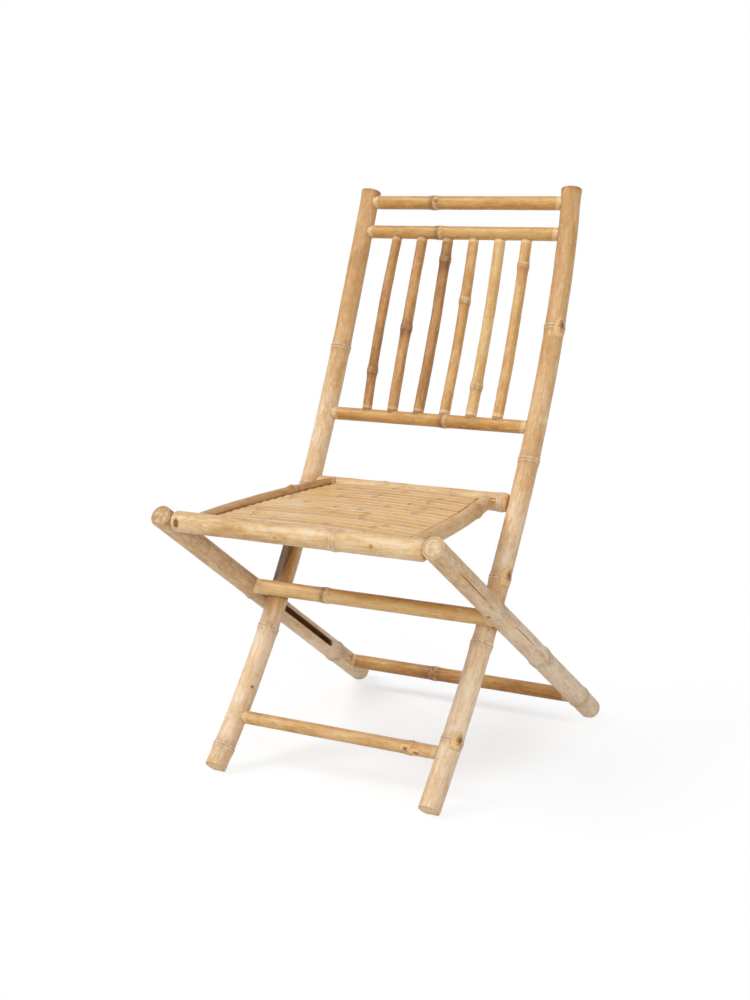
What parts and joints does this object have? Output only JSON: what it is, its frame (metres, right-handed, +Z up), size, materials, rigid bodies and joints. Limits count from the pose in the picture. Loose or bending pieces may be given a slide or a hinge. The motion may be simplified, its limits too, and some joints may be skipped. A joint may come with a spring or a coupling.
{
  "type": "bamboo folding chair",
  "caption": "Folding side chair of round bamboo culms with a slatted seat, a spindled back and crossed legs; the seat lifts and the chair closes nearly flat.",
  "frame": {"origin": "on the floor, in the middle of the open chair's width and depth", "axes": "+Z up, the front towards -Y, the sitter's left towards +X"},
  "size_m": [0.516, 0.6448, 0.9375],
  "materials": {
    "pale_bamboo": "smooth culm skin, satin",
    "golden_bamboo": "smooth culm skin, satin",
    "grey_bamboo": "weathered culm skin, matt to satin",
    "brown_bamboo": "darker culm skin, matt to satin"
  },
  "bodies": {
    "back_frame": {"left_post": "pale_bamboo", "right_post": "pale_bamboo", "top_back_rail": "golden_bamboo", "second_back_rail": "golden_bamboo", "lower_back_rail": "golden_bamboo", "front_stretcher": "golden_bamboo", "back_spindle_1": "golden_bamboo", "back_spindle_2": "golden_bamboo", "back_spindle_3": "golden_bamboo", "back_spindle_4": "golden_bamboo", "back_spindle_5": "golden_bamboo", "back_spindle_6": "golden_bamboo"},
    "seat": {"front_seat_rail": "pale_bamboo", "rear_seat_rail": "pale_bamboo", "left_side_rail": "brown_bamboo", "right_side_rail": "brown_bamboo", "seat_bearer_1": "golden_bamboo", "seat_bearer_2": "golden_bamboo", "seat_bearer_3": "golden_bamboo", "left_front_pivot_dowel": "brown_bamboo", "right_front_pivot_dowel": "brown_bamboo", "left_rear_pivot_dowel": "brown_bamboo", "right_rear_pivot_dowel": "brown_bamboo", "seat_slat_01": "golden_bamboo", "seat_slat_02": "golden_bamboo", "seat_slat_03": "golden_bamboo", "seat_slat_04": "golden_bamboo", "seat_slat_05": "golden_bamboo", "seat_slat_06": "golden_bamboo", "seat_slat_07": "golden_bamboo", "seat_slat_08": "golden_bamboo", "seat_slat_09": "golden_bamboo", "seat_slat_10": "golden_bamboo", "seat_slat_11": "golden_bamboo", "seat_slat_12": "golden_bamboo", "seat_slat_13": "golden_bamboo", "seat_slat_14": "golden_bamboo", "seat_slat_15": "golden_bamboo", "seat_slat_16": "golden_bamboo", "seat_slat_17": "golden_bamboo"},
    "leg_frame": {"left_leg": "grey_bamboo", "right_leg": "grey_bamboo", "cross_rail": "golden_bamboo", "rear_stretcher": "golden_bamboo"},
    "slide_pins": {"left_slide_pin": "brown_bamboo", "right_slide_pin": "brown_bamboo"}
  },
  "joints": [
    {"name": "seat_fold", "type": "hinge", "parent": "back_frame", "child": "seat", "pos_m": [-0.00005, 0.06731, 0.43], "axis": [-1, 0, 0], "range_deg": [0, 99]},
    {"name": "leg_turn", "type": "hinge", "parent": "seat", "child": "leg_frame", "pos_m": [-0.00005, -0.29972, 0.43], "axis": [1, 0, 0], "range_deg": [0, 26]},
    {"name": "pin_slide", "type": "slide", "parent": "leg_frame", "child": "slide_pins", "axis": [0, 0.8261, -0.5635], "range_m": [0, 0.2525]}
  ],
  "couplings": [
    {"joint": "leg_turn", "follows": "seat_fold", "ratio": 0.26248},
    {"joint": "pin_slide", "follows": "seat_fold", "m_per_rad": 0.14604}
  ]
}
